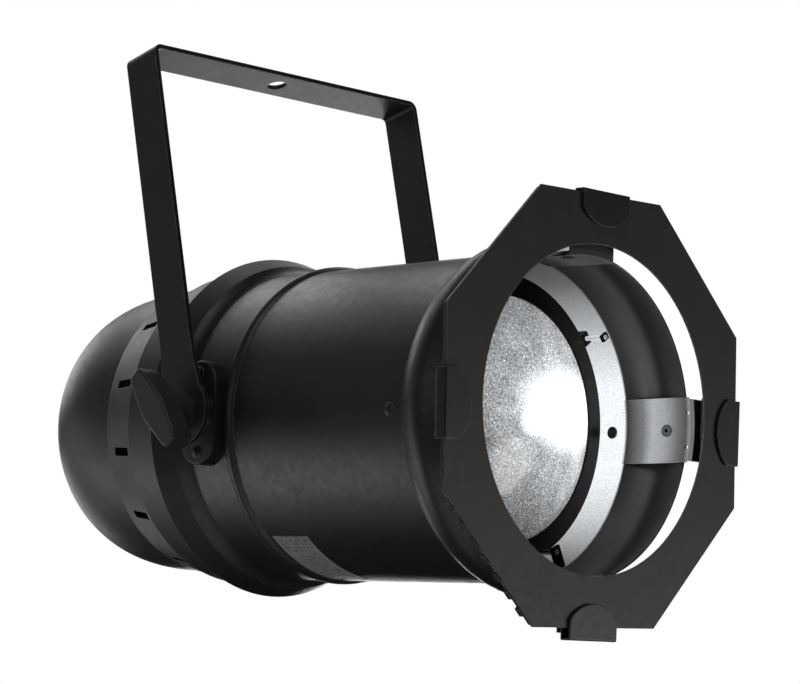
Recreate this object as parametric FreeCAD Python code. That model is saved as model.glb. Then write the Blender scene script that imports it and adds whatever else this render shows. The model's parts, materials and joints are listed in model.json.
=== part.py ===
import FreeCAD, Part
import math
import os

from FreeCAD import Vector

# Par can light with a motor-driven zoom lens, in millimetres.
#
# Part frame: the origin is the hanging hole, on the top face of the yoke's bar.
# +Z is up and the yoke hangs straight down from it. +X is along the pivots.
# The light leaves towards -Y.
#
# The head is modelled in a frame of its own and tilted into place at the end:
# x is along the pivots, y is the optical axis, measured back from the front of
# the colour frame, and z is up. Angles around the axis start at +x.

# ---- Driving dimensions -----------------------------------------------------

TILT_DEG = 14.5  # how far the head points below level at rest
PIVOT_DROP = 241.4  # from the top face of the yoke's bar down to the pivots
PIVOT_Y = 237.5  # from the colour frame's front face back to the pivots
SHEET = 1.2  # barrel, housing and clip sheet
RUN = 0.05  # radial clearance of a running fit

YOKE_HALF = 117.4  # outer half width over the legs
YOKE_STRAP = 3.0
YOKE_WIDTH = 28.8
YOKE_BEND = 6.0  # outer bend radius
YOKE_LOBE = 21.0
HANG_HOLE = 6.5  # radius, for an M12 clamp bolt

BARREL_R = 99.2
BARREL_IN = BARREL_R - SHEET
MOUTH_R = 97.5
MOUTH_Y = 13.2
LIP_R = 107.2  # where the conical lip meets the round of the flare
LIP_Y = 37.5
SHOULDER_Y = 63.0
BEAD_Y = 215.6
BELL_Y = 252.6
BELL_EDGE_R = 110.6
BELL_EDGE_Y = 277.6

HOUSING_R = 104.4
HOUSING_Y = 268.0
VENT_STEP_Y = 310.0
DOME_Y = 340.0
DOME_R = 94.6
DOME_LENGTH = 103.0
DOME_OPENING = 53.0
DOME_POWER = 2.6  # squareness of the dome's bulge
VENT_COUNT = 14
VENT_LENGTH = 17.0
VENT_WIDTH = 5.5

FRAME_FLATS = 254.0  # colour frame, across the flats of the octagon
FRAME_HOLE = 97.2
FRAME_DEPTH = 3.8
FRAME_RISE = 3.3  # the frame sits this much above the axis in its clips
FRAME_ROLL = 1.2  # and turned by this many degrees, within their play
LEAF = 1.0
REAR_HOLE = 102.0  # the rear leaf is cut back so that it doesn't show

CLIP_WIDTH = 40.0
CLIP_R = 97.8  # outside of the clip strips, against the barrel wall
CLIP_MOUTH_R = 95.9  # and where they pass inside the mouth
CLIP_FRONT_Y = 10.0
CLIP_BEND_Y = 61.0  # behind here the strip lies along the barrel
CLIP_BACK_Y = 82.0
CLIP_GAP = 0.8  # play of the colour frame in its clips
CLIP_TAB = 20.0

LENS_R = 81.0
LENS_CREST_Y = 56.0
LENS_FLAT_Y = 86.0
LENS_BALL = 153.0  # radius of the convex face
BEZEL_IN = 75.0
BEZEL_R = 89.1
ROD_R = 1.5
ROD_PLACE = 94.8  # rods' distance from the axis
ROD_ANGLES = (37.0, 127.0, 217.0)
SCREW_R = 2.0
SCREW_PLACE = 87.0
SCREW_ANGLE = -64.0

ENGINE_Y = 204.0  # front face of the plate that carries the light engine
ENGINE_PLATE = 2.0
SINK_R = 80.0
FAN_SIZE = 120.0
FAN_Y = 276.0
FAN_DEPTH = 25.0
PANEL_Y = 432.6  # outer face of the rear panel
PANEL_SHEET = 1.5
PANEL_R = 50.5

STUD_R = 4.0
BUSH_R = 6.0
PLATE_FACE_X = 106.0
PLATE_Y = 236.6
PLATE_HALF_HEIGHT = 32.4
PLATE_HALF_WIDTH = 15.8

BUTTON_R = 3.4
BUTTON_TRAVEL = 1.0
BUTTON_NAMES = ("mode", "down", "up", "set")
BUTTON_PITCH = 13.0
BUTTON_Z = 17.0

X = Vector(1, 0, 0)
Y = Vector(0, 1, 0)
Z = Vector(0, 0, 1)
CENTRE = Vector(0, 0, 0)
THROUGH = 400.0  # longer than the light is wide
HEAD_LENGTH = 450.0  # longer than the head
SEAT = 0.1  # gap left between pieces that are bolted up to each other
SEAM_ANGLE = 31.0  # where turned faces start and end, clear of every hole

# ---- Shape helpers ----------------------------------------------------------


def on_profile(stop):
    """A point of a turned profile, from its place along the axis and its radius."""
    along, radius = stop
    return Vector(radius, along, 0)


def profile_edges(stops, closed):
    """Edges through the stops. ("arc", via, end) and ("curve", point, ..., end) are round."""
    edges = []
    here = on_profile(stops[0])
    last = [stops[0]] if closed else []
    for stop in list(stops[1:]) + last:
        if stop[0] == "arc":
            end = on_profile(stop[2])
            edges.append(Part.Arc(here, on_profile(stop[1]), end).toShape())
        elif stop[0] == "curve":
            points = [here] + [on_profile(point) for point in stop[1:]]
            end = points[-1]
            curve = Part.BSplineCurve()
            curve.interpolate(points)
            edges.append(curve.toShape())
        else:
            end = on_profile(stop)
            edges.append(Part.LineSegment(here, end).toShape())
        here = end
    return edges


def turned(stops):
    """A solid of revolution about the optical axis from a closed profile."""
    face = Part.Face(Part.Wire(profile_edges(stops, True)))
    return around(face, SEAM_ANGLE).revolve(CENTRE, Y, 360)


def inward(point, edges, wall):
    """Move a profile point off the edges that meet at it, towards the inside of the sheet."""
    flat_point = on_profile(point)
    tangents = [edge.tangentAt(edge.Curve.parameter(flat_point)) for edge in edges]
    mean = sum(tangents[1:], tangents[0]).normalize()
    step = wall / mean.dot(tangents[0])
    return point[0] + mean.x * step, point[1] - mean.y * step


def moved_in(stops, edges, wall):
    """The same profile stops, one sheet thickness in."""
    moved = [inward(stops[0], edges[:1], wall)]
    for index, stop in enumerate(stops[1:]):
        touching = edges[index:index + 2]
        if isinstance(stop[0], str):
            on_curve = [inward(point, touching[:1], wall) for point in stop[1:-1]]
            moved.append((stop[0], *on_curve, inward(stop[-1], touching, wall)))
        else:
            moved.append(inward(stop, touching, wall))
    return moved


def spun(stops, wall=SHEET):
    """A spun sheet: the stops are its outer surface, and the wall lies inside them."""
    outer = profile_edges(stops, False)
    inner = profile_edges(moved_in(stops, outer, wall), False)
    caps = [
        Part.LineSegment(outer[index].Vertexes[index].Point, inner[index].Vertexes[index].Point).toShape()
        for index in (-1, 0)
    ]
    face = Part.Face(Part.Wire(outer + caps[:1] + inner[::-1] + caps[1:]))
    return around(face, SEAM_ANGLE).revolve(CENTRE, Y, 360)


def rod(radius, start, end, x=0.0, z=0.0):
    """A cylinder along the optical axis."""
    return Part.makeCylinder(radius, end - start, Vector(x, start, z), Y)


def ring(outer, inner, start, end, x=0.0, z=0.0):
    return rod(outer, start, end, x, z).cut(rod(inner, start, end, x, z))


def pin(radius, start, end, y=PIVOT_Y, z=0.0):
    """A cylinder along x."""
    return Part.makeCylinder(radius, end - start, Vector(start, y, z), X)


def collar(outer, inner, start, end, y=PIVOT_Y, z=0.0):
    return pin(outer, start, end, y, z).cut(pin(inner, start, end, y, z))


def drill(shape, radius, x=0.0, z=0.0, end=HEAD_LENGTH):
    """Cut a hole along the optical axis, right through or from the front to an end."""
    return shape.cut(rod(radius, -1.0, end, x, z))


def drill_across(shape, radius, y=PIVOT_Y, z=0.0):
    """Cut a hole along x through the +x side."""
    return shape.cut(pin(radius, 0.0, THROUGH / 2, y, z))


def block(x_span, y_span, z_span):
    sides = [high - low for low, high in (x_span, y_span, z_span)]
    return Part.makeBox(*sides, Vector(x_span[0], y_span[0], z_span[0]))


def around(shape, angle):
    """Turn a shape about the optical axis, from +x towards +z."""
    turned_shape = shape.copy()
    turned_shape.rotate(CENTRE, Y, -angle)
    return turned_shape


def polar(radius, angle):
    """x and z of a point around the optical axis."""
    return radius * math.cos(math.radians(angle)), radius * math.sin(math.radians(angle))


def mirrored(shape):
    """The same piece on the other side of the light."""
    return shape.mirror(CENTRE, X)


def rounded(shape, radius, wanted):
    """Round the straight edges that a test picks out."""
    edges = [edge for edge in shape.Edges if wanted(edge)]
    return shape.makeFillet(radius, edges)


def along(edge, direction):
    """True for a straight edge that runs in a direction."""
    if edge.Curve.TypeId != "Part::GeomLine":
        return False
    return abs(edge.Curve.Direction.dot(direction)) > 0.999


def group(shapes):
    return Part.makeCompound(shapes)


def outline_yz(points, x_start, x_end):
    """A plate of given thickness along x from a polygon in the y-z plane."""
    wire = Part.makePolygon([Vector(x_start, y, z) for y, z in points + points[:1]])
    return Part.Face(wire).extrude(Vector(x_end - x_start, 0, 0))


def outline_xz(points, start, end):
    """A plate of given thickness along the optical axis from a polygon in the x-z plane."""
    wire = Part.makePolygon([Vector(x, start, z) for x, z in points + points[:1]])
    return Part.Face(wire).extrude(Vector(0, end - start, 0))


# ---- Yoke, in the part frame ------------------------------------------------


def yoke():
    """A flat strap bent into a U, with a round lobe at each pivot."""
    inner = YOKE_HALF - YOKE_STRAP
    half = YOKE_WIDTH / 2
    outside = block((-YOKE_HALF, YOKE_HALF), (-half, half), (-PIVOT_DROP, 0))
    inside = block((-inner, inner), (-half, half), (-PIVOT_DROP - 1, -YOKE_STRAP))

    def top_corner(edge):
        return along(edge, Y) and edge.CenterOfMass.z > -2 * YOKE_STRAP

    strap = rounded(outside, YOKE_BEND, top_corner)
    strap = strap.cut(rounded(inside, YOKE_BEND - YOKE_STRAP, top_corner))
    for side in (-1, 1):
        start = min(side * YOKE_HALF, side * inner)
        strap = strap.fuse(yoke_lobe(start))
    for side in (-1, 1):
        start = min(side * YOKE_HALF, side * inner) - 1
        strap = strap.cut(pin(BUSH_R + RUN, start, start + YOKE_STRAP + 2, 0, -PIVOT_DROP))
    hang = Part.makeCylinder(HANG_HOLE, YOKE_STRAP + 2, Vector(0, 0, -YOKE_STRAP - 1), Z)
    return strap.cut(hang).removeSplitter()


def yoke_lobe(start):
    """The widened end of one leg: a disc, with sides that sweep up into the strap."""
    half = YOKE_WIDTH / 2
    shoulder = 12.0
    sweep = 46.0
    edge_y = math.sqrt(YOKE_LOBE**2 - shoulder**2)
    low, high = -PIVOT_DROP + shoulder, -PIVOT_DROP + sweep
    bend = (edge_y * 0.44 + half * 0.56, low + 0.42 * (high - low))
    corners = [Vector(start, y, z) for y, z in ((-edge_y, low), (-half, high), (half, high), (edge_y, low))]
    bends = [Vector(start, side * bend[0], bend[1]) for side in (-1, 1)]
    edges = [
        Part.Arc(corners[0], bends[0], corners[1]).toShape(),
        Part.LineSegment(corners[1], corners[2]).toShape(),
        Part.Arc(corners[2], bends[1], corners[3]).toShape(),
        Part.LineSegment(corners[3], corners[0]).toShape(),
    ]
    web = Part.Face(Part.Wire(edges)).extrude(Vector(YOKE_STRAP, 0, 0))
    return web.fuse(pin(YOKE_LOBE, start, start + YOKE_STRAP, 0, -PIVOT_DROP))


# ---- Barrel and rear housing ------------------------------------------------


def pivot_holes(shape, radius):
    return shape.cut(pin(radius, -THROUGH / 2, THROUGH / 2))


def plate_rivet_places():
    """y and z of the rivets that hold each side bracket."""
    return [(PLATE_Y, sign * (PLATE_HALF_HEIGHT - PLATE_RIVET_INSET)) for sign in (-1, 1)]


RIVET_R = 2.4
RIVET_HEAD = 4.4
RIVET_HEIGHT = 2.0
RIVET_TAIL = 3.8
RIVET_BORE = 1.1
RIVET_STANDOFF = 1.0  # clears the sloping strip under the front rivets' heads
PLATE_RIVET_INSET = 8.0  # from the side bracket's ends
CLIP_ANGLES = {"right": -0.4, "top": 90.0, "left": 181.5, "bottom": 270.0}
CLIP_FRONT_RIVET_Y = 27.8
CLIP_REAR_RIVET_Y = 73.2
BEAD_HALF = 4.6
BEAD_HEIGHT = 2.4


def barrel():
    """One spun tube: curled front flare, plain body, stiffening bead and rear bell."""
    shell = spun(
        [
            (MOUTH_Y, MOUTH_R),
            (LIP_Y, LIP_R),
            ("curve", (LIP_Y + 7.5, LIP_R + 1.0), (LIP_Y + 16.0, LIP_R - 1.4), (SHOULDER_Y, BARREL_R)),
            (BEAD_Y - BEAD_HALF, BARREL_R),
            ("arc", (BEAD_Y, BARREL_R + BEAD_HEIGHT), (BEAD_Y + BEAD_HALF, BARREL_R)),
            (BELL_Y, BARREL_R),
            ("curve", (256.4, 100.8), (261.4, 105.0)),
            (BELL_EDGE_Y, BELL_EDGE_R),
        ]
    )
    shell = pivot_holes(shell, STUD_R + 0.3)
    for y, z in plate_rivet_places():
        shell = shell.cut(pin(RIVET_R, -THROUGH / 2, THROUGH / 2, y, z))
    for angle in CLIP_ANGLES.values():
        shell = shell.cut(around(pin(RIVET_R, 0.0, THROUGH / 2, CLIP_REAR_RIVET_Y), angle))
    return shell


HOUSING_SHEET = 1.5
VENT_Y = 322.5
VENT_STEP = 1.2
VENT_STEP_R = 102.4


def rear_housing():
    """The vented band behind the barrel. It slips into the bell and carries the chassis."""
    shell = spun(
        [
            (HOUSING_Y, HOUSING_R),
            (VENT_STEP_Y, VENT_STEP_R),
            (VENT_STEP_Y + VENT_STEP, VENT_STEP_R - VENT_STEP),
            (DOME_Y - 0.4, DOME_R + 1.2),
        ],
        HOUSING_SHEET,
    )
    slot_span = (VENT_Y - VENT_LENGTH / 2, VENT_Y + VENT_LENGTH / 2)
    slot = block((0.0, THROUGH / 2), slot_span, (-VENT_WIDTH / 2, VENT_WIDTH / 2))
    for step in range(VENT_COUNT):
        shell = shell.cut(around(slot, 180 + (step + 0.5) * 360 / VENT_COUNT))
    return shell


def dome_curve(inset, y_end, reverse=False):
    """Points of the dome's bulge, from its front edge to y_end, on the outside or a wall in."""
    length, radius = DOME_LENGTH - inset, DOME_R - inset
    steps = 9
    points = []
    for step in range(steps + 1):
        reach = (y_end - DOME_Y) * math.sin(math.pi / 2 * step / steps)
        points.append((DOME_Y + reach, radius * (1 - (reach / length) ** 3) ** (1 / DOME_POWER)))
    return points[::-1] if reverse else points


SKIRT_LENGTH = 6.0
SKIRT_R = DOME_R - 0.7
PANEL_RECESS_R = PANEL_R + 0.3
LEDGE_R = 44.5


def rear_dome():
    """A rounded rear cover: a skirt into the housing, and an open flat end with a ledge."""
    end = DOME_Y + DOME_LENGTH * (1 - (DOME_OPENING / DOME_R) ** DOME_POWER) ** (1 / 3)
    wall = HOUSING_SHEET
    ledge_back = PANEL_Y - PANEL_SHEET
    outside = dome_curve(0.0, end)
    inside = dome_curve(wall, ledge_back - wall, True)
    dome = turned([
        (DOME_Y - SKIRT_LENGTH, SKIRT_R),
        (DOME_Y, SKIRT_R),
        outside[0],
        ("curve", *outside[1:]),
        (end, PANEL_RECESS_R),
        (ledge_back, PANEL_RECESS_R),
        (ledge_back, LEDGE_R),
        (ledge_back - wall, LEDGE_R),
        inside[0],
        ("curve", *inside[1:]),
        (DOME_Y, SKIRT_R - wall),
        (DOME_Y - SKIRT_LENGTH, SKIRT_R - wall),
    ])
    for angle in PANEL_SCREW_ANGLES:
        dome = drill(dome, PANEL_SCREW_R, *polar(PANEL_SCREW_PLACE, angle))
    return dome.cut(power_block(DOME_Y, PANEL_Y))


# ---- Side brackets and pivots -----------------------------------------------


def stadium(half_height, half_width, x_start, x_end):
    """An upright plate with round ends, centred on the side bracket."""
    straight = half_height - half_width
    body = block((x_start, x_end), (PLATE_Y - half_width, PLATE_Y + half_width), (-straight, straight))
    ends = [pin(half_width, x_start, x_end, PLATE_Y, sign * straight) for sign in (-1, 1)]
    return body.fuse(ends)


PLATE_SHEET = 2.0
PLATE_EDGE = 1.4
PLATE_ROOT_X = 80.0  # inside the barrel's surface, all along the bracket's rim


def side_bracket():
    """A pressed cap with a flat face, riveted to the barrel around the pivot (+x side)."""
    core = rod(BARREL_R, SHOULDER_Y, BELL_Y)
    outer = stadium(PLATE_HALF_HEIGHT, PLATE_HALF_WIDTH, PLATE_ROOT_X, PLATE_FACE_X)
    inner = stadium(PLATE_HALF_HEIGHT - PLATE_SHEET, PLATE_HALF_WIDTH - PLATE_SHEET,
                    PLATE_ROOT_X - 1, PLATE_FACE_X - PLATE_SHEET)

    def face_rim(edge):
        return edge.BoundBox.XMin > PLATE_FACE_X - 0.01

    cap = rounded(outer.removeSplitter(), PLATE_EDGE, face_rim).cut(inner).cut(core)
    cap = pivot_holes(cap, STUD_R + 0.3)
    for y, z in plate_rivet_places():
        cap = drill_across(cap, RIVET_R, y, z)
    return cap


def dome_head(radius, height, x):
    """A low domed rivet head standing on the plane at x, facing +x."""
    ball = (radius**2 + height**2) / (2 * height)
    cap = Part.makeSphere(ball, Vector(x + height - ball, 0, 0))
    return cap.common(block((x, x + height + 1), (-radius, radius), (-radius, radius)))


def bracket_rivets(side):
    """Domed rivets through the bracket's face and the barrel wall."""
    rivets = []
    for y, z in plate_rivet_places():
        head = dome_head(RIVET_HEAD, RIVET_HEIGHT, PLATE_FACE_X)
        head.translate(Vector(0, y, z))
        tail_end = math.sqrt(BARREL_IN**2 - (abs(z) + RIVET_HEAD) ** 2) - SEAT
        shank = pin(RIVET_R, tail_end - 1.5, PLATE_FACE_X, y, z)
        tail = pin(RIVET_TAIL, tail_end - 1.5, tail_end, y, z)
        rivets.append(head.fuse([shank, tail]).removeSplitter())
    rivets = group(rivets)
    return rivets if side > 0 else mirrored(rivets)


NUT_CORNER_R = 7.5
NUT_SPAN = (90.5, 97.3)
LEG_IN = YOKE_HALF - YOKE_STRAP
BUSH_FLANGE_R = 12.0
BUSH_SHOULDER_X = LEG_IN - 1.4
FRICTION_R = 16.5
WASHER_R = 11.0
WASHER_THICK = 1.5


def weld_nut():
    """A hexagonal nut inside the barrel wall that the knob's stud screws into (+x side)."""
    corners = [(PIVOT_Y + NUT_CORNER_R * math.cos(turn), NUT_CORNER_R * math.sin(turn))
               for turn in (math.radians(60 * step) for step in range(6))]
    return drill_across(outline_yz(corners, *NUT_SPAN), STUD_R + RUN)


def pivot_bush():
    """A shouldered steel bush: its flange spaces the leg off, its nose is the tilt pivot (+x side)."""
    flange = pin(BUSH_FLANGE_R, PLATE_FACE_X, BUSH_SHOULDER_X)
    nose = pin(BUSH_R, BUSH_SHOULDER_X, YOKE_HALF - 2 * SEAT)
    return drill_across(flange.fuse(nose), STUD_R + RUN).removeSplitter()


def friction_washer():
    """A fibre washer between the bush's shoulder and the yoke's leg (+x side)."""
    return collar(FRICTION_R, BUSH_R, BUSH_SHOULDER_X, LEG_IN - SEAT)


def knob_washer():
    """The plain steel washer between the leg and the knob's hub (+x side)."""
    return collar(WASHER_R, STUD_R + SEAT, YOKE_HALF, YOKE_HALF + WASHER_THICK)


KNOB_HUB_R = 12.0
KNOB_HUB_X = YOKE_HALF + WASHER_THICK + SEAT
KNOB_WING_X = YOKE_HALF + 9.6
KNOB_OUT_X = YOKE_HALF + 25.6
KNOB_LENGTH = 58.0
KNOB_WIDTH = 21.0
KNOB_TIP = 10.0  # width of the wing's ends
KNOB_TAPER = 6.0  # length of the narrower stretch at each end
KNOB_EDGE = 2.0
KNOB_LEAN = 41.0  # the wing's top leans back from upright
STUD_END_X = 90.9
STUD_HEAD_X = KNOB_WING_X + 6.0


def knob():
    """A moulded T-knob: round hub and a waisted wing across it (+x side)."""
    half, waist, tip = KNOB_LENGTH / 2, KNOB_WIDTH / 2, KNOB_TIP / 2
    neck, neck_z = tip + 2.0, half - KNOB_TAPER
    corners = [(-waist, 0), (-neck, -neck_z), (-tip, -half), (tip, -half), (neck, -neck_z),
               (waist, 0), (neck, neck_z), (tip, half), (-tip, half), (-neck, neck_z)]
    wing = outline_yz(corners, KNOB_WING_X, KNOB_OUT_X)
    wing = wing.makeFillet(KNOB_EDGE, wing.Edges)
    hub = pin(KNOB_HUB_R, KNOB_HUB_X, KNOB_WING_X + 2 * KNOB_EDGE, 0)
    body = wing.fuse(hub).cut(pin(STUD_R, 0.0, STUD_HEAD_X, 0))
    body.rotate(CENTRE, X, -KNOB_LEAN)
    body.translate(Vector(0, PIVOT_Y, 0))
    return body.removeSplitter()


def knob_stud():
    """The knob's moulded-in M8 stud (+x side)."""
    return pin(STUD_R, STUD_END_X, STUD_HEAD_X)


# ---- Colour frame and its clips ---------------------------------------------


def octagon(start, end, inset=0.0):
    flat = FRAME_FLATS / 2 - inset
    corner = flat * math.tan(math.radians(22.5))
    points = [(flat, corner), (corner, flat), (-corner, flat), (-flat, corner),
              (-flat, -corner), (-corner, -flat), (corner, -flat), (flat, -corner)]
    plate = around(outline_xz(points, start, end), FRAME_ROLL)
    plate.translate(Vector(0, 0, FRAME_RISE))
    return plate


def frame_leaf(start, inset, hole_radius):
    hole = rod(hole_radius, start - 1, start + LEAF + 1, 0, FRAME_RISE)
    return octagon(start, start + LEAF, inset).cut(hole)


REAR_INSET = 1.2
TAB_COUNT = 7
TAB_PITCH = 13.5
TAB_WIDTH = 6.0
TAB_PROUD = 0.9


def frame_leaf_rear():
    """The rear leaf, with folded tabs along the lower left slanted side."""
    start = FRAME_DEPTH - LEAF
    leaf = frame_leaf(start, REAR_INSET, REAR_HOLE)
    reach = FRAME_FLATS / 2
    for step in range(-TAB_COUNT // 2 + 1, TAB_COUNT // 2 + 1):
        offset = step * TAB_PITCH
        span = (offset - TAB_WIDTH / 2, offset + TAB_WIDTH / 2)
        tab = block((reach - REAR_INSET - 0.4, reach + TAB_PROUD), (LEAF, start + LEAF), span)
        tab = around(tab, 225 + FRAME_ROLL)
        tab.translate(Vector(0, 0, FRAME_RISE))
        leaf = leaf.fuse(tab)
    return leaf.removeSplitter()


CLIP_DROP = 6.5  # the lower clip stands off, so that the frame lifts in and out
CLIP_LEG = 27.0  # rear leg of the channel, before it is cut round to suit the barrel
CLIP_SPACER = (14.0, 8.0)  # its ends, in from the web
TAB_ROUND_R = CLIP_TAB + 6.0
NOTCH_R = 1.2  # relief notches at the strip's bend
NOTCH_Z = 10.5


def clip_reach(name):
    """How far out the frame's edge lies in this clip."""
    rise = {"top": FRAME_RISE, "bottom": -FRAME_RISE}.get(name, 0.0)
    gap = CLIP_DROP if name == "bottom" else CLIP_GAP
    return FRAME_FLATS / 2 + rise + gap


def clip_strip(name):
    """A strip of sheet lying against the barrel wall, bent outward behind the colour frame."""
    half = CLIP_WIDTH / 2
    outside = [(CLIP_FRONT_Y, CLIP_MOUTH_R), (CLIP_BEND_Y, CLIP_R), (CLIP_BACK_Y, CLIP_R)]
    inside = [(y, radius - SHEET) for y, radius in reversed(outside)]
    strip = turned(outside + inside).common(block((0.0, BARREL_R), (0.0, CLIP_BACK_Y), (-half, half)))
    foot_span = (CLIP_FRONT_Y - SHEET, CLIP_FRONT_Y)
    foot = block((CLIP_MOUTH_R - 6.0, clip_reach(name) - 3.0), foot_span, (-half + 1, half - 1))
    strip = strip.fuse(foot.cut(rod(CLIP_MOUTH_R - SHEET, 0.0, CLIP_BACK_Y)))
    for z in (-NOTCH_Z, NOTCH_Z):
        strip = drill_across(strip, NOTCH_R, CLIP_FRONT_Y + NOTCH_R, z)
    for y in (CLIP_FRONT_RIVET_Y, CLIP_REAR_RIVET_Y):
        strip = drill_across(strip, RIVET_R, y)
    return around(strip.removeSplitter(), CLIP_ANGLES[name])


def strip_radius(y):
    """The outside radius of a clip strip at a place along the axis."""
    share = min(1.0, (y - CLIP_FRONT_Y) / (CLIP_BEND_Y - CLIP_FRONT_Y))
    return CLIP_MOUTH_R + share * (CLIP_R - CLIP_MOUTH_R)


def clip_channel(name):
    """The U-shaped channel that holds one side of the colour frame, with a round tab in front."""
    half = CLIP_WIDTH / 2
    reach = clip_reach(name)
    back = FRAME_DEPTH + CLIP_GAP
    front = -CLIP_GAP
    rear_leg = block((reach - CLIP_LEG, reach + SHEET), (back, back + SHEET), (-half, half))
    web = block((reach, reach + SHEET), (front - SHEET, back + SHEET), (-half, half))
    tab = block((reach - CLIP_TAB, reach + SHEET), (front - SHEET, front), (-half, half))
    tab = tab.common(rod(TAB_ROUND_R, front - SHEET, front, reach + TAB_ROUND_R - CLIP_TAB))
    channel = rear_leg.fuse([web, tab]).removeSplitter()

    def bend(edge):
        return along(edge, Z) and edge.CenterOfMass.x > reach + SHEET - 0.01

    channel = rounded(channel, SHEET, bend)
    channel = channel.cut(rod(FRAME_HOLE + 1.5, 0.0, SHOULDER_Y))
    return around(channel, CLIP_ANGLES[name])


def clip_spacer(name):
    """A block of the same sheet folded between strip and channel."""
    half = CLIP_WIDTH / 2 - 4.0
    x_span = [clip_reach(name) - inset for inset in CLIP_SPACER]
    y_span = (FRAME_DEPTH + CLIP_GAP + SHEET, CLIP_FRONT_Y - SHEET)
    return around(block(x_span, y_span, (-half, half)), CLIP_ANGLES[name])


def clip(name):
    return clip_strip(name).fuse([clip_spacer(name), clip_channel(name)]).removeSplitter()


def clip_rivet(y, outer):
    """A tubular rivet through a clip strip, with its head at a given radius (+x side)."""
    inner = strip_radius(y) - SHEET
    tail_span = (inner - 1.1, inner - 3 * SEAT)
    head = dome_head(RIVET_HEAD, RIVET_HEIGHT - 0.2, outer)
    shank = pin(RIVET_R, tail_span[0], outer, 0).cut(pin(RIVET_BORE, 0.0, inner + SHEET, 0))
    tail = collar(RIVET_TAIL, RIVET_BORE, *tail_span, 0)
    rivet = head.fuse([shank, tail]).removeSplitter()
    rivet.translate(Vector(0, y, 0))
    return rivet


def clip_rivets():
    """Two rivets through each clip strip: the rear one also goes through the barrel."""
    front = clip_rivet(CLIP_FRONT_RIVET_Y, strip_radius(CLIP_FRONT_RIVET_Y) + RIVET_STANDOFF)
    rear = clip_rivet(CLIP_REAR_RIVET_Y, BARREL_R)
    return group([around(rivet, angle) for angle in CLIP_ANGLES.values() for rivet in (front, rear)])


# ---- Zoom lens carriage -----------------------------------------------------

TUBE_IN = LENS_R + 0.3
TUBE_R = TUBE_IN + 2.0
TUBE_FRONT = 79.1
TUBE_BACK = 104.0
TUBE_FLANGE = 2.0
BEZEL_FRONT_Y = 73.6
BEZEL_OUT_Y = 77.3
LENS_SCREW_PLACE = 85.6
LENS_SCREW_R = 1.2
LENS_SCREW_HEAD = 2.4
LENS_SCREW_HOLE = 1.5
LENS_SCREW_ANGLES = (105.0, 180.0, 255.0)
SCREW_NOTCH_R = SCREW_R + 0.5
LUG_HALF = 4.0
LUG_LENGTH = 9.0


def lens_glass():
    """A thick plano-convex lens, crown forward."""
    blank = rod(LENS_R, LENS_CREST_Y, LENS_FLAT_Y)
    ball = Part.makeSphere(LENS_BALL, Vector(0, LENS_CREST_Y + LENS_BALL, 0))
    return blank.common(ball)


def lens_bezel():
    """The conical black ring that hides the lens's edge."""
    wall = TUBE_FRONT - BEZEL_OUT_Y
    face = turned([(BEZEL_FRONT_Y, BEZEL_IN), (BEZEL_OUT_Y, BEZEL_R),
                   (TUBE_FRONT, BEZEL_R), (BEZEL_FRONT_Y + wall, BEZEL_IN)])
    for angle in LENS_SCREW_ANGLES:
        face = drill(face, LENS_SCREW_HOLE, *polar(LENS_SCREW_PLACE, angle))
    return drill(face, SCREW_NOTCH_R, *polar(SCREW_PLACE, SCREW_ANGLE))


def lens_tube():
    """The sliding carriage: a short tube around the lens with lugs that ride on the rods."""
    skirt = ring(TUBE_R, TUBE_IN, TUBE_FRONT, TUBE_BACK)
    flange = ring(BEZEL_R - 0.6, TUBE_IN, TUBE_FRONT, TUBE_FRONT + TUBE_FLANGE)
    lugs = []
    for angle in ROD_ANGLES:
        reach = (TUBE_R - 0.6, ROD_PLACE + ROD_R + 1.2)
        lug = block(reach, (TUBE_FRONT, TUBE_FRONT + LUG_LENGTH), (-LUG_HALF, LUG_HALF))
        lugs.append(around(lug, angle))
    carriage = skirt.fuse([flange] + lugs)
    for angle in ROD_ANGLES:
        carriage = drill(carriage, ROD_R + RUN, *polar(ROD_PLACE, angle))
    for angle in LENS_SCREW_ANGLES:
        carriage = drill(carriage, LENS_SCREW_R + RUN, *polar(LENS_SCREW_PLACE, angle))
    x, z = polar(SCREW_PLACE, SCREW_ANGLE)
    return drill(carriage, SCREW_NOTCH_R, x, z, TUBE_FRONT + LUG_LENGTH).removeSplitter()


def lens_retainer():
    """A snap ring that holds the lens against the bezel from behind."""
    return ring(TUBE_IN, LENS_R - 4.0, LENS_FLAT_Y, LENS_FLAT_Y + 1.6)


def lens_screws():
    """Small pan-head screws through the bezel into the carriage flange."""
    screws = []
    slope = (BEZEL_OUT_Y - BEZEL_FRONT_Y) / (BEZEL_R - BEZEL_IN)
    face_y = BEZEL_FRONT_Y + slope * (LENS_SCREW_PLACE - LENS_SCREW_HEAD - BEZEL_IN)
    for angle in LENS_SCREW_ANGLES:
        x, z = polar(LENS_SCREW_PLACE, angle)
        head = rod(LENS_SCREW_HEAD, face_y - 1.2, face_y - SEAT, x, z)
        shank = rod(LENS_SCREW_R, face_y - SEAT, TUBE_FRONT + TUBE_FLANGE + 1.5, x, z)
        screws.append(head.fuse(shank).removeSplitter())
    return group(screws)


def zoom_nut():
    """The brass nut block on the carriage that the lead screw drives."""
    nut = block((TUBE_R - 2.0, SCREW_PLACE + 4.2), (TUBE_BACK - 12.0, TUBE_BACK), (-5.0, 5.0))
    nut = drill(drill(nut, TUBE_R), SCREW_R + RUN, SCREW_PLACE)
    return around(nut, SCREW_ANGLE)


RODS_START = SHOULDER_Y + 0.3


def guide_rods():
    return group([rod(ROD_R, RODS_START, ENGINE_Y + ENGINE_PLATE, *polar(ROD_PLACE, angle))
                  for angle in ROD_ANGLES])


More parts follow.
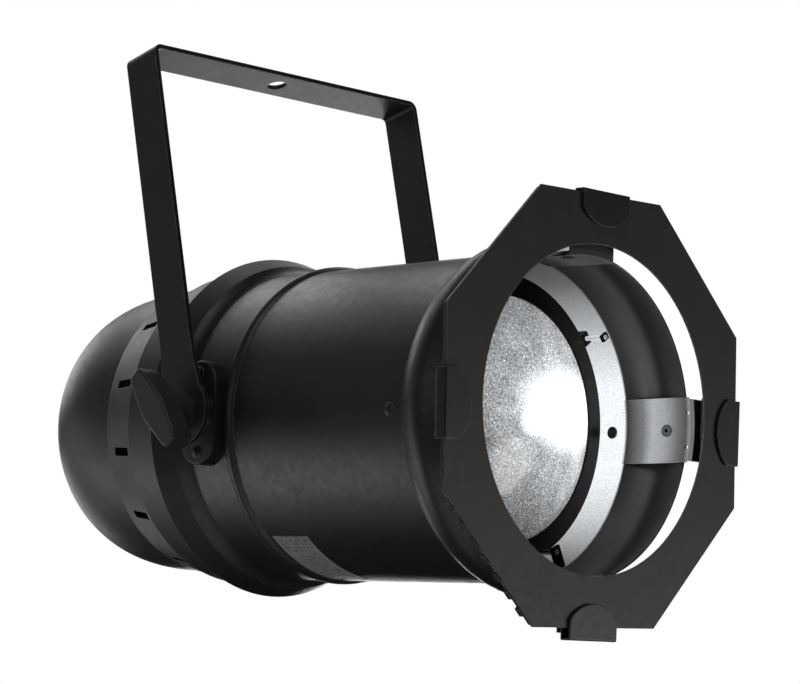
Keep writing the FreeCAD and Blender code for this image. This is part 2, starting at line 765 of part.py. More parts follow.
def wall_bearing(place, radius, wall, half):
    """A small block on the barrel's wall with a hole along the axis (+x side)."""
    body = block((place - radius - wall, BARREL_IN), (RODS_START + 0.4, RODS_START + 2.6), (-half, half))
    return drill(body.common(rod(BARREL_IN - SEAT, 0.0, ENGINE_Y)), radius, place)


def rod_brackets():
    """Blocks on the barrel wall that hold the front ends of the rods and the lead screw."""
    brackets = [around(wall_bearing(ROD_PLACE, ROD_R, 0.8, 2.2), angle) for angle in ROD_ANGLES]
    brackets.append(around(wall_bearing(SCREW_PLACE, SCREW_R + RUN, 1.3, 3.6), SCREW_ANGLE))
    return group(brackets)


MOTOR_R = 10.0
MOTOR_Y = 152.0
MOTOR_LENGTH = 17.0
MOTOR_BOSS_R = 3.6
SHAFT_DEPTH = 10.0  # how far the screw's shaft reaches into the motor
BRACKET_SHEET = 1.5
BRACKET_HALF = 13.0


def zoom_motor():
    """A small can stepper motor with a blind bore for the screw's shaft."""
    can = rod(MOTOR_R, MOTOR_Y, MOTOR_Y + MOTOR_LENGTH, SCREW_PLACE)
    boss = rod(MOTOR_BOSS_R, MOTOR_Y - BRACKET_SHEET, MOTOR_Y, SCREW_PLACE)
    plug_x = (SCREW_PLACE - MOTOR_R - 3.0, SCREW_PLACE - MOTOR_R / 2)
    connector = block(plug_x, (MOTOR_Y + 6.0, MOTOR_Y + 15.0), (-5.0, 5.0))
    bore_end = MOTOR_Y + SHAFT_DEPTH + SEAT
    motor = drill(can.fuse([boss, connector]), SCREW_R + RUN, SCREW_PLACE, 0.0, bore_end)
    return around(motor.removeSplitter(), SCREW_ANGLE)


def motor_bracket():
    """A folded bracket that carries the motor on the light engine's plate."""
    front, inner = MOTOR_Y - BRACKET_SHEET, BRACKET_HALF - BRACKET_SHEET
    face = block((SCREW_PLACE - 13.5, SCREW_PLACE + 10.0), (front, MOTOR_Y), (-BRACKET_HALF, BRACKET_HALF))
    arms = [block((SCREW_PLACE - 9.0, SCREW_PLACE + 5.0), (front, ENGINE_Y), span)
            for span in ((-BRACKET_HALF, -inner), (inner, BRACKET_HALF))]
    body = drill(face.fuse(arms), MOTOR_BOSS_R, SCREW_PLACE)
    return around(body.common(rod(BARREL_IN - 0.4, 0.0, ENGINE_Y)).removeSplitter(), SCREW_ANGLE)


def zoom_screw():
    """The lead screw, from the motor forward through the nut to its front bearing."""
    return rod(SCREW_R, RODS_START + 0.5, MOTOR_Y + SHAFT_DEPTH, *polar(SCREW_PLACE, SCREW_ANGLE))


# ---- Light engine -----------------------------------------------------------

ENGINE_OPENING = 27.0  # hole behind the light source
ENGINE_SCREW_PLACE = 72.0
ENGINE_SCREW_R = 1.7
ENGINE_SCREW_HEAD = (3.5, 2.4)  # radius and height
ENGINE_SCREW_DEPTH = 5.0
ENGINE_SCREW_HOLE = 2.0
ENGINE_SCREW_ANGLES = (45.0, 135.0, 225.0, 315.0)
SINK_BASE = 7.0
FIN_TOP = 268.0
FIN_PITCH = 8.4
FIN_HALF = 1.0  # half a fin's thickness
FINS_PER_SIDE = 8
LED_HALF = 18.0
EMITTER_R = 12.5
EMITTER_HEIGHT = 1.0
CONE_MOUTH = (158.0, 48.0)  # place and radius of the reflector's wide end
CONE_WALL = 1.0
CONE_ROOT_R = 15.5
CONE_FLANGE_R = 36.0


def engine_plate():
    """The disc across the barrel that carries the light engine, the rods and the heat sink."""
    plate = ring(BARREL_IN - 2 * SEAT, ENGINE_OPENING, ENGINE_Y, ENGINE_Y + ENGINE_PLATE)
    for angle in ROD_ANGLES:
        plate = drill(plate, ROD_R, *polar(ROD_PLACE, angle))
    for angle in ENGINE_SCREW_ANGLES:
        plate = drill(plate, ENGINE_SCREW_HOLE, *polar(ENGINE_SCREW_PLACE, angle))
    return plate


def heat_sink():
    """A cast aluminium base with a comb of upright fins behind it."""
    base_start = ENGINE_Y + ENGINE_PLATE
    base_end = base_start + SINK_BASE
    sink = rod(SINK_R, base_start, base_end)
    fins = []
    for step in range(-FINS_PER_SIDE, FINS_PER_SIDE + 1):
        x = step * FIN_PITCH
        reach = math.sqrt((SINK_R - 1.0) ** 2 - (abs(x) + FIN_HALF) ** 2)
        fins.append(block((x - FIN_HALF, x + FIN_HALF), (base_end - 0.5, FIN_TOP), (-reach, reach)))
    sink = sink.fuse(fins)
    hole_end = base_start + ENGINE_SCREW_DEPTH + 0.5
    for angle in ENGINE_SCREW_ANGLES:
        x, z = polar(ENGINE_SCREW_PLACE, angle)
        sink = drill(sink, ENGINE_SCREW_R, x, z, hole_end)
    return sink.removeSplitter()


def engine_screws():
    """Pan-head screws through the plate into the heat sink."""
    head_radius, head_height = ENGINE_SCREW_HEAD
    shank_end = ENGINE_Y + ENGINE_PLATE + ENGINE_SCREW_DEPTH
    screws = []
    for angle in ENGINE_SCREW_ANGLES:
        x, z = polar(ENGINE_SCREW_PLACE, angle)
        head = rod(head_radius, ENGINE_Y - head_height, ENGINE_Y, x, z)
        shank = rod(ENGINE_SCREW_R, ENGINE_Y, shank_end, x, z)
        screws.append(head.fuse(shank).removeSplitter())
    return group(screws)


def led_board():
    """The ceramic carrier of the light source."""
    span = (-LED_HALF, LED_HALF)
    return block(span, (ENGINE_Y, ENGINE_Y + ENGINE_PLATE), span)


def led_emitter():
    """The yellow phosphor disc on the carrier."""
    return rod(EMITTER_R, ENGINE_Y - EMITTER_HEIGHT, ENGINE_Y)


def reflector():
    """A spun aluminium cone that gathers the light towards the lens."""
    mouth_y, mouth_radius = CONE_MOUTH
    root_y = ENGINE_Y - EMITTER_HEIGHT
    inside = [(190.0, 26.0), (175.0, 38.5)]
    outside = [(y, radius + 1.1 * CONE_WALL) for y, radius in reversed(inside)]
    return turned([
        (root_y, CONE_FLANGE_R),
        (root_y, CONE_ROOT_R),
        ("curve", *inside, (mouth_y, mouth_radius)),
        (mouth_y, mouth_radius + CONE_WALL),
        ("curve", *outside, (root_y - 1.2 * CONE_WALL, CONE_ROOT_R + 1.5 * CONE_WALL)),
        (root_y - 1.2 * CONE_WALL, CONE_FLANGE_R),
    ])


# ---- Fan and electronics ----------------------------------------------------

FAN_BORE = 57.0
FAN_HUB = 20.0
FAN_CORNER = 6.0
FAN_BACK = FAN_Y + FAN_DEPTH
FAN_SPOKE = 3.0  # thickness of the spokes and the boss
FAN_SPINDLE = 3.0
FAN_SCREW_OFFSET = 52.5
FAN_BOLT_R = 2.0
FAN_BOLT_HEAD = (3.6, 2.4)  # radius and height
FAN_SPACER_R = 3.4
BLADE_COUNT = 7
BLADE_PITCH_DEG = 42.0
BLADE_CHORD = 26.0
BLADE_THICK = 1.6


def fan_screw_places():
    sides = (-FAN_SCREW_OFFSET, FAN_SCREW_OFFSET)
    return [(x, z) for x in sides for z in sides]


def fan_frame():
    """A square axial fan housing with a motor boss and its spindle on four spokes."""
    half = FAN_SIZE / 2
    body = block((-half, half), (FAN_Y, FAN_BACK), (-half, half))
    body = drill(rounded(body, FAN_CORNER, lambda edge: along(edge, Y)), FAN_BORE)
    boss_front = FAN_BACK - FAN_SPOKE
    spoke = block((FAN_HUB - 4.0, FAN_BORE + 1.0), (boss_front, FAN_BACK), (-2.0, 2.0))
    spokes = [around(spoke, angle) for angle in (45, 135, 225, 315)]
    boss = rod(FAN_HUB, boss_front, FAN_BACK)
    spindle = rod(FAN_SPINDLE, FAN_Y + 3.0, boss_front)
    frame = body.fuse([boss, spindle] + spokes)
    for x, z in fan_screw_places():
        frame = drill(frame, FAN_BOLT_R + 0.2, x, z)
    return frame.removeSplitter()


def fan_rotor():
    """A hub cup and pitched blades, running on the boss's spindle."""
    front, back = FAN_Y + 1.5, FAN_BACK - FAN_SPOKE - 1.0
    annulus = ring(FAN_BORE - 2.0, FAN_HUB - 1.0, front, back)
    flat_blade = block((FAN_HUB - 2.0, FAN_BORE), (-BLADE_CHORD / 2, BLADE_CHORD / 2),
                       (-BLADE_THICK / 2, BLADE_THICK / 2))
    flat_blade.rotate(CENTRE, X, BLADE_PITCH_DEG)
    flat_blade.translate(Vector(0, (front + back) / 2, 0))
    blades = [around(flat_blade, step * 360 / BLADE_COUNT).common(annulus) for step in range(BLADE_COUNT)]
    rotor = rod(FAN_HUB, front, back).fuse(blades)
    return drill(rotor, FAN_SPINDLE + RUN).removeSplitter()


CHASSIS_Y = 308.0
CHASSIS_BACK = CHASSIS_Y + SHEET
CHASSIS_R = 99.6
CHASSIS_OPENING = 50.0
BRIDGE_SPANS = ((-34.0, -26.0), (26.0, 34.0))  # z of the strips across the opening
CHASSIS_LUG_R = 100.4
CHASSIS_LUG_LENGTH = 7.0
CHASSIS_LUG_ANGLES = (60.0, 180.0, 300.0)


def chassis_plate():
    """The sheet steel disc behind the fan that carries the power supply."""
    plate = ring(CHASSIS_R, CHASSIS_OPENING, CHASSIS_Y, CHASSIS_BACK)
    reach = CHASSIS_OPENING + 2.0
    bridge = [block((-reach, reach), (CHASSIS_Y, CHASSIS_BACK), span) for span in BRIDGE_SPANS]
    plate = plate.fuse(bridge + [chassis_lug(angle) for angle in CHASSIS_LUG_ANGLES])
    for x, z in fan_screw_places():
        plate = drill(plate, FAN_BOLT_R, x, z)
    for x, z in supply_post_places():
        plate = drill(plate, POST_R, x, z)
    return plate.removeSplitter()


def chassis_lug(angle):
    """A lug folded forward from the chassis plate's rim, against the housing wall."""
    y_span = (CHASSIS_Y - CHASSIS_LUG_LENGTH, CHASSIS_BACK)
    lug = block((CHASSIS_LUG_R - 6.0, CHASSIS_LUG_R), y_span, (-8.0, 8.0))
    return around(lug.common(ring(CHASSIS_LUG_R, CHASSIS_LUG_R - SHEET, *y_span)), angle)


def fan_bolts():
    """Long bolts and spacers that hang the fan on the chassis plate."""
    head_radius, head_height = FAN_BOLT_HEAD
    bolts = []
    for x, z in fan_screw_places():
        head = rod(head_radius, CHASSIS_BACK, CHASSIS_BACK + head_height, x, z)
        shank = rod(FAN_BOLT_R, FAN_Y - 1.0, CHASSIS_BACK, x, z)
        spacer = ring(FAN_SPACER_R, FAN_BOLT_R, FAN_BACK, CHASSIS_Y, x, z)
        bolts.append(head.fuse([shank, spacer]).removeSplitter())
    return group(bolts)


SUPPLY_Y = 318.0
SUPPLY_HALF = (56.0, 38.0)
BOARD_THICK = 1.6
POST_PLACE = (48.0, 30.0)
POST_R = 1.5
POST_COLLAR_R = 3.0


def supply_post_places():
    across, up = POST_PLACE
    return [(x, z) for x in (-across, across) for z in (-up, up)]


def supply_posts():
    """Stand-off posts between the chassis plate and the supply's board."""
    posts = []
    for x, z in supply_post_places():
        stem = rod(POST_R, CHASSIS_Y, SUPPLY_Y + 4.0, x, z)
        posts.append(stem.fuse(rod(POST_COLLAR_R, CHASSIS_BACK, SUPPLY_Y, x, z)).removeSplitter())
    return group(posts)


def supply_board():
    half_x, half_z = SUPPLY_HALF
    board = block((-half_x, half_x), (SUPPLY_Y, SUPPLY_Y + BOARD_THICK), (-half_z, half_z))
    for x, z in supply_post_places():
        board = drill(board, POST_R + SEAT, x, z)
    return board


def supply_parts():
    """Transformer, chokes, heat spreader and capacitors of the power supply."""
    top = SUPPLY_Y + BOARD_THICK
    boxes = [  # x span, height, z span
        ((-18, 14), 28, (-15, 15)),
        ((22, 38), 18, (-22, -6)),
        ((22, 38), 18, (4, 20)),
        ((-40, -37), 30, (-20, 20)),
    ]
    cans = [(8.0, 32, x, z) for x, z in ((-28, 12), (-28, -8))]  # radius, height, x, z
    cans += [(4.0, 16, x, 27) for x in (-8, 4, 16)]
    parts = [block(x_span, (top, top + height), z_span) for x_span, height, z_span in boxes]
    parts += [rod(radius, top, top + height, x, z) for radius, height, x, z in cans]
    return group(parts)


BOARD_Y = 420.0
BOARD_SPAN = ((-33.0, 33.0), (9.5, 42.0))  # x and z
SWITCH_HALF = 3.0
SWITCH_BODY_Y = BOARD_Y + BOARD_THICK + 3.4
SWITCH_TOP_Y = BOARD_Y + BOARD_THICK + 4.6
SWITCH_STEM_R = 1.6
DISPLAY_SPAN = ((-16.0, 16.0), (26.0, 40.0))  # x and z


def control_board():
    """The small board behind the display and the buttons."""
    return block(BOARD_SPAN[0], (BOARD_Y, BOARD_Y + BOARD_THICK), BOARD_SPAN[1])


def button_places():
    first = -BUTTON_PITCH * (len(BUTTON_NAMES) - 1) / 2
    return [(first + step * BUTTON_PITCH, BUTTON_Z) for step in range(len(BUTTON_NAMES))]


def button_switches():
    """Tactile switches on the control board, one behind each button."""
    half = SWITCH_HALF
    switches = []
    for x, z in button_places():
        base = block((x - half, x + half), (BOARD_Y + BOARD_THICK, SWITCH_BODY_Y), (z - half, z + half))
        stem = rod(SWITCH_STEM_R, SWITCH_BODY_Y, SWITCH_TOP_Y, x, z)
        switches.append(base.fuse(stem).removeSplitter())
    return group(switches)


def display_module():
    return block(DISPLAY_SPAN[0], (BOARD_Y + BOARD_THICK, PANEL_Y - PANEL_SHEET), DISPLAY_SPAN[1])


# ---- Rear panel -------------------------------------------------------------

PANEL_SCREW_PLACE = 47.6
PANEL_SCREW_R = 1.4
PANEL_SCREW_HEAD = (2.5, 1.5)  # radius and height
PANEL_SCREW_DEPTH = 5.0
PANEL_SCREW_ANGLES = (0.0, 60.0, 120.0, 180.0, 240.0, 300.0)
WINDOW = ((-15.5, 15.5), (27.0, 39.0))  # x and z
BUTTON_PROUD = 1.8
BUTTON_FLANGE = 1.2
DATA_X = 24.5
DATA_Z = -5.0
DATA_R = 11.0
DATA_DEPTH = 18.0
DATA_RIM = (1.6, 1.2)  # width and height
POLE_PLACE = 5.2
POLE_ANGLES = (30.0, 90.0, 150.0, 230.0, 310.0)
POLE_PIN_R = 1.1
POLE_HOLE_R = 1.4
POWER_Z = -33.0
POWER_HALF = (14.0, 10.0)
POWER_CUT = 5.0  # chamfer of the upper corners
POWER_DEPTH = 20.0
POWER_RIM = (1.6, 1.4)  # width and height
POWER_WALL = 1.8
BLADE_PLACES = ((-7.0, -2.0), (0.0, 3.0), (7.0, -2.0))  # x and z, from the inlet's middle
BLADE_HALF = (1.0, 2.2)


def power_block(start, end, grow=0.0):
    """The chamfered outline of an appliance inlet."""
    half_x, half_z, cut = POWER_HALF[0] + grow, POWER_HALF[1] + grow, POWER_CUT
    points = [(-half_x, -half_z), (half_x, -half_z), (half_x, half_z - cut), (half_x - cut, half_z),
              (-half_x + cut, half_z), (-half_x, half_z - cut)]
    shape = outline_xz(points, start, end)
    shape.translate(Vector(0, 0, POWER_Z))
    return shape


def rear_panel():
    """The flat panel with cut-outs for the display, the buttons and the sockets."""
    front, back = PANEL_Y - PANEL_SHEET, PANEL_Y
    panel = rod(PANEL_R, front, back).cut(block(WINDOW[0], (front - 1, back + 1), WINDOW[1]))
    panel = panel.cut(power_block(front - 1, back + 1))
    for x, z in button_places():
        panel = drill(panel, BUTTON_R + RUN, x, z)
    for side in (-1, 1):
        panel = drill(panel, DATA_R, side * DATA_X, DATA_Z)
    for angle in PANEL_SCREW_ANGLES:
        panel = drill(panel, PANEL_SCREW_R, *polar(PANEL_SCREW_PLACE, angle))
    return panel


def panel_screws():
    """Pan-head screws that hold the panel on the dome's ledge."""
    head_radius, head_height = PANEL_SCREW_HEAD
    screws = []
    for angle in PANEL_SCREW_ANGLES:
        x, z = polar(PANEL_SCREW_PLACE, angle)
        head = rod(head_radius, PANEL_Y, PANEL_Y + head_height, x, z)
        shank = rod(PANEL_SCREW_R, PANEL_Y - PANEL_SHEET - PANEL_SCREW_DEPTH, PANEL_Y, x, z)
        screws.append(head.fuse(shank).removeSplitter())
    return group(screws)


def display_window():
    return block(WINDOW[0], (PANEL_Y - PANEL_SHEET, PANEL_Y + 0.3), WINDOW[1])


def button(index):
    """A push button with a flange that keeps it behind the panel."""
    x, z = button_places()[index]
    start = SWITCH_TOP_Y + BUTTON_TRAVEL + SEAT
    cap = rod(BUTTON_R, start, PANEL_Y + BUTTON_PROUD, x, z)
    flange = rod(BUTTON_R + BUTTON_FLANGE, start, PANEL_Y - PANEL_SHEET - SEAT, x, z)
    return cap.fuse(flange).removeSplitter()


def pole_places(x):
    """x and z of the poles of a data socket."""
    offsets = [polar(POLE_PLACE, angle) for angle in POLE_ANGLES]
    return [(x + across, DATA_Z + up) for across, up in offsets]


def data_socket(side, male):
    """A round five-pole data socket. The inward one has pins, the outward one has holes."""
    x = side * DATA_X
    rim_width, rim_height = DATA_RIM
    shell = rod(DATA_R, PANEL_Y - DATA_DEPTH, PANEL_Y + 0.2, x, DATA_Z)
    shell = shell.fuse(ring(DATA_R + rim_width, DATA_R - 1.0, PANEL_Y, PANEL_Y + rim_height, x, DATA_Z))
    if male:
        shell = shell.cut(rod(DATA_R - 1.6, PANEL_Y - 14.0, PANEL_Y + 2.0, x, DATA_Z))
        pins = [rod(POLE_PIN_R, PANEL_Y - 15.0, PANEL_Y - 2.5, *place) for place in pole_places(x)]
        return shell.fuse(pins).removeSplitter()
    shell = shell.fuse(rod(DATA_R - 1.0, PANEL_Y - DATA_DEPTH, PANEL_Y + 0.6, x, DATA_Z))
    holes = [rod(POLE_HOLE_R, PANEL_Y - 12.0, PANEL_Y + 2.0, *place) for place in pole_places(x)]
    return shell.cut(holes).removeSplitter()


def power_inlet():
    """A chamfered three-pole appliance inlet."""
    rim_width, rim_height = POWER_RIM
    half_x, half_z = BLADE_HALF
    body = power_block(PANEL_Y - POWER_DEPTH, PANEL_Y + 0.2)
    body = body.fuse(power_block(PANEL_Y, PANEL_Y + rim_height, rim_width))
    body = body.cut(power_block(PANEL_Y - POWER_DEPTH + 4.0, PANEL_Y + 3.0, -POWER_WALL))
    blades = []
    for x, up in BLADE_PLACES:
        z = POWER_Z + up
        y_span = (PANEL_Y - POWER_DEPTH + 3.0, PANEL_Y - 3.0)
        blades.append(block((x - half_x, x + half_x), y_span, (z - half_z, z + half_z)))
    return body.fuse(blades).removeSplitter()


# ---- Label ------------------------------------------------------------------


LABEL_ANGLES = (-131.6, -97.0)
LABEL_Y = (175.4, 207.5)
LABEL_R = BARREL_R + 0.25


def rating_label():
    """A thin foil label stuck low on the barrel's left side."""
    start, end = LABEL_Y
    first, last = LABEL_ANGLES
    corners = [(start, BARREL_R), (start, LABEL_R), (end, LABEL_R), (end, BARREL_R)]
    face = Part.Face(Part.Wire(profile_edges(corners, True)))
    return around(face.revolve(CENTRE, Y, first - last), first)


# ---- Assembly ---------------------------------------------------------------


def head_nodes():
    """Every piece of the head, in the head's own frame."""
    nodes = {
        "barrel": barrel(),
        "rear_housing": rear_housing(),
        "rear_dome": rear_dome(),
        "rating_label": rating_label(),
        "color_frame_front": frame_leaf(0.0, 0.0, FRAME_HOLE),
        "color_frame_rear": frame_leaf_rear(),
        "clip_rivets": clip_rivets(),
        "lens_glass": lens_glass(),
        "lens_bezel": lens_bezel(),
        "lens_tube": lens_tube(),
        "lens_retainer": lens_retainer(),
        "lens_screws": lens_screws(),
        "zoom_nut": zoom_nut(),
        "guide_rods": guide_rods(),
        "rod_brackets": rod_brackets(),
        "zoom_motor": zoom_motor(),
        "motor_bracket": motor_bracket(),
        "zoom_screw": zoom_screw(),
        "engine_plate": engine_plate(),
        "engine_screws": engine_screws(),
        "heat_sink": heat_sink(),
        "led_board": led_board(),
        "led_emitter": led_emitter(),
        "reflector": reflector(),
        "fan_frame": fan_frame(),
        "fan_rotor": fan_rotor(),
        "fan_bolts": fan_bolts(),
        "chassis_plate": chassis_plate(),
        "supply_posts": supply_posts(),
        "supply_board": supply_board(),
        "supply_parts": supply_parts(),
        "control_board": control_board(),
        "button_switches": button_switches(),
        "display_module": display_module(),
        "display_window": display_window(),
        "rear_panel": rear_panel(),
        "panel_screws": panel_screws(),
        "data_in": data_socket(-1, True),
        "data_out": data_socket(1, False),
        "power_inlet": power_inlet(),
    }
    for index, name in enumerate(BUTTON_NAMES):
        nodes["button_" + name] = button(index)
    for name in CLIP_ANGLES:
        nodes["clip_" + name] = clip(name)
    return nodes


def pivot_nodes():
    """The pieces of both pivots, in the head's own frame."""
    nodes = {}
    for name, make in {"side_bracket": side_bracket, "knob": knob, "knob_stud": knob_stud}.items():
        nodes[name + "_right"] = make()
        nodes[name + "_left"] = mirrored(make())
    pairs = {"weld_nuts": weld_nut, "pivot_bushes": pivot_bush,
             "friction_washers": friction_washer, "knob_washers": knob_washer}
    for name, make in pairs.items():
        nodes[name] = group([make(), mirrored(make())])
    nodes["bracket_rivets"] = group([bracket_rivets(-1), bracket_rivets(1)])
    return nodes


def in_place(shape):
    """Move a head piece into the part frame, tilted about the pivots."""
    placed = shape.copy()
    placed.translate(Vector(0, -PIVOT_Y, 0))
    placed.rotate(CENTRE, X, TILT_DEG)
    placed.translate(Vector(0, 0, -PIVOT_DROP))
    return placed


def main():
    os.makedirs("parts", exist_ok=True)
    nodes = {name: in_place(shape) for name, shape in {**head_nodes(), **pivot_nodes()}.items()}
    nodes["yoke"] = yoke()
    for name, shape in nodes.items():
        shape.exportStep(os.path.join("parts", name + ".step"))


main()
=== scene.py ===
import json
import math

import bmesh
import bpy
from mathutils import Matrix, Vector, noise


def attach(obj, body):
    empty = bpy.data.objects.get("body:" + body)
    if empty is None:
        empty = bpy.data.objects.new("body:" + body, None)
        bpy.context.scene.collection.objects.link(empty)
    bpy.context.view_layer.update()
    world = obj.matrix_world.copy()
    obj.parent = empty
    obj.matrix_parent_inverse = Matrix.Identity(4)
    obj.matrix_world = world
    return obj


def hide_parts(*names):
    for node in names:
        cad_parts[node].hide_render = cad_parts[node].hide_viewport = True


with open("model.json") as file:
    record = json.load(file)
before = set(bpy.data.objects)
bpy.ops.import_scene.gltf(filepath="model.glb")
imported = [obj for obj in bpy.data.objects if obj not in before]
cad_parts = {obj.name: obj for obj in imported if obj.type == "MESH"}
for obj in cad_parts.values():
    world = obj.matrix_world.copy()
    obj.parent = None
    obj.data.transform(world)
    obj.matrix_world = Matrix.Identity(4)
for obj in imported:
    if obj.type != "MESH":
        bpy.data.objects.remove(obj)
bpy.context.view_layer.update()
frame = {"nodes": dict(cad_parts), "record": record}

# Looks of the par can light. Everything is in metres, in the part's own frame: the origin is
# the hanging hole on top of the yoke, +Z is up, +X runs along the pivots and the light leaves
# towards -Y, tilted down.

MM = 0.001

# ---- Camera -----------------------------------------------------------------

CAMERA_AIM = Vector((-87.2, -163.2, -244.3)) * MM
CAMERA_DISTANCE = 1605.4 * MM
CAMERA_AZIMUTH = math.radians(-46.13)
CAMERA_ELEVATION = math.radians(-16.36)
CAMERA_ROLL = math.radians(-8.18)
CAMERA_LENS = 123.585


def make_camera():
    """A camera below the light, on its left, that looks up into the lens."""
    back = Vector((
        math.sin(CAMERA_AZIMUTH) * math.cos(CAMERA_ELEVATION),
        -math.cos(CAMERA_AZIMUTH) * math.cos(CAMERA_ELEVATION),
        math.sin(CAMERA_ELEVATION),
    ))
    level = Vector((math.cos(CAMERA_AZIMUTH), math.sin(CAMERA_AZIMUTH), 0.0))
    upright = back.cross(level)
    right = level * math.cos(CAMERA_ROLL) + upright * math.sin(CAMERA_ROLL)
    up = upright * math.cos(CAMERA_ROLL) - level * math.sin(CAMERA_ROLL)
    turn = Matrix((right, up, back)).transposed().to_4x4()
    camera = bpy.data.objects.new("camera", bpy.data.cameras.new("camera"))
    camera.matrix_world = Matrix.Translation(CAMERA_AIM + back * CAMERA_DISTANCE) @ turn
    camera.data.lens = CAMERA_LENS
    bpy.context.scene.collection.objects.link(camera)
    bpy.context.scene.camera = camera


make_camera()

# ---- Head frame -------------------------------------------------------------

JOINTS = {joint["name"]: joint for joint in frame["record"]["behaviour"]["joints"]}
PIVOT = Vector(JOINTS["tilt"]["pos_m"])
BACK = Vector(JOINTS["zoom_slide"]["axis"]).normalized()
ACROSS = Vector((1, 0, 0))
RISE = ACROSS.cross(BACK)
HEAD = Matrix.Translation(PIVOT) @ Matrix((ACROSS, BACK, RISE)).transposed().to_4x4()
TO_HEAD = HEAD.inverted()


def head_box(name):
    """A node's lowest and highest corners in the head's frame, with the pivot as its origin."""
    points = [TO_HEAD @ vertex.co for vertex in frame["nodes"][name].data.vertices]
    return [Vector(pick(point[axis] for point in points) for axis in range(3)) for pick in (min, max)]


# ---- Studio -----------------------------------------------------------------


LIGHTS_AIM = Vector((0, -0.05, -0.23))
ROOM_LEVEL = 0.014


def softbox(name, direction, power, distance, size):
    """A square area light that faces the object."""
    data = bpy.data.lights.new(name, "AREA")
    data.shape = "SQUARE"
    data.size = size
    data.energy = power
    lamp = bpy.data.objects.new(name, data)
    away = Vector(direction).normalized()
    turn = away.to_track_quat("Z", "Y").to_matrix().to_4x4()
    lamp.matrix_world = Matrix.Translation(LIGHTS_AIM + away * distance) @ turn
    lamp.visible_camera = False
    bpy.context.scene.collection.objects.link(lamp)


def make_world():
    """White paper behind the object, and a dim room for everything that it reflects."""
    world = bpy.data.worlds.new("studio")
    bpy.context.scene.world = world
    world.use_nodes = True
    nodes, links = world.node_tree.nodes, world.node_tree.links
    nodes.clear()
    room = nodes.new("ShaderNodeBackground")
    room.inputs["Strength"].default_value = ROOM_LEVEL
    paper = nodes.new("ShaderNodeBackground")
    paper.inputs["Color"].default_value = (1, 1, 1, 1)
    path = nodes.new("ShaderNodeLightPath")
    mix = nodes.new("ShaderNodeMixShader")
    out = nodes.new("ShaderNodeOutputWorld")
    links.new(path.outputs["Is Camera Ray"], mix.inputs[0])
    links.new(room.outputs[0], mix.inputs[1])
    links.new(paper.outputs[0], mix.inputs[2])
    links.new(mix.outputs[0], out.inputs["Surface"])


# Name, direction from the object, power, distance and size.
LIGHTS = (
    ("rim_light", (0.70, 0.71, 0.10), 9.5, 1.7, 0.6),
    ("top_light", (0.26, 0.53, 0.81), 2.8, 1.7, 0.6),
    ("top_left_light", (0.00, 0.52, 0.86), 1.6, 1.7, 0.6),
    ("upper_left_light", (-0.26, 0.53, 0.81), 0.7, 1.7, 0.6),
    ("side_strip_light", (-0.64, 0.62, 0.46), 0.35, 1.7, 0.6),
    ("low_left_light", (-0.52, 0.81, -0.27), 3.0, 1.7, 0.6),
    ("low_back_light", (-0.31, 0.85, -0.43), 0.6, 1.7, 0.6),
    ("tail_light", (0.10, 0.85, 0.52), 3.4, 1.7, 0.6),
    ("tail_left_light", (-0.40, 0.90, 0.10), 1.3, 1.7, 0.6),
    ("tail_low_light", (0.15, 0.96, 0.00), 1.8, 1.7, 0.6),
    ("tail_right_light", (0.45, 0.86, 0.24), 2.2, 1.7, 0.6),
    ("front_light", (0.60, -0.60, -0.50), 10.9, 1.8, 1.0),
    ("left_light", (-0.95, -0.10, 0.20), 2.2, 2.0, 1.0),
    ("back_light", (0.69, 0.665, 0.28), 10.0, 2.0, 0.9),
    ("high_front_light", (-0.30, -0.60, 0.70), 5.0, 1.9, 0.8),
    ("under_light", (-0.50, -0.10, -0.86), 6.0, 1.5, 1.6),
    ("high_right_light", (0.69, 0.19, 0.69), 6.0, 1.8, 0.8),
)

make_world()
bpy.context.scene.view_settings.view_transform = "Standard"
for light in LIGHTS:
    softbox(*light)

# ---- Materials --------------------------------------------------------------


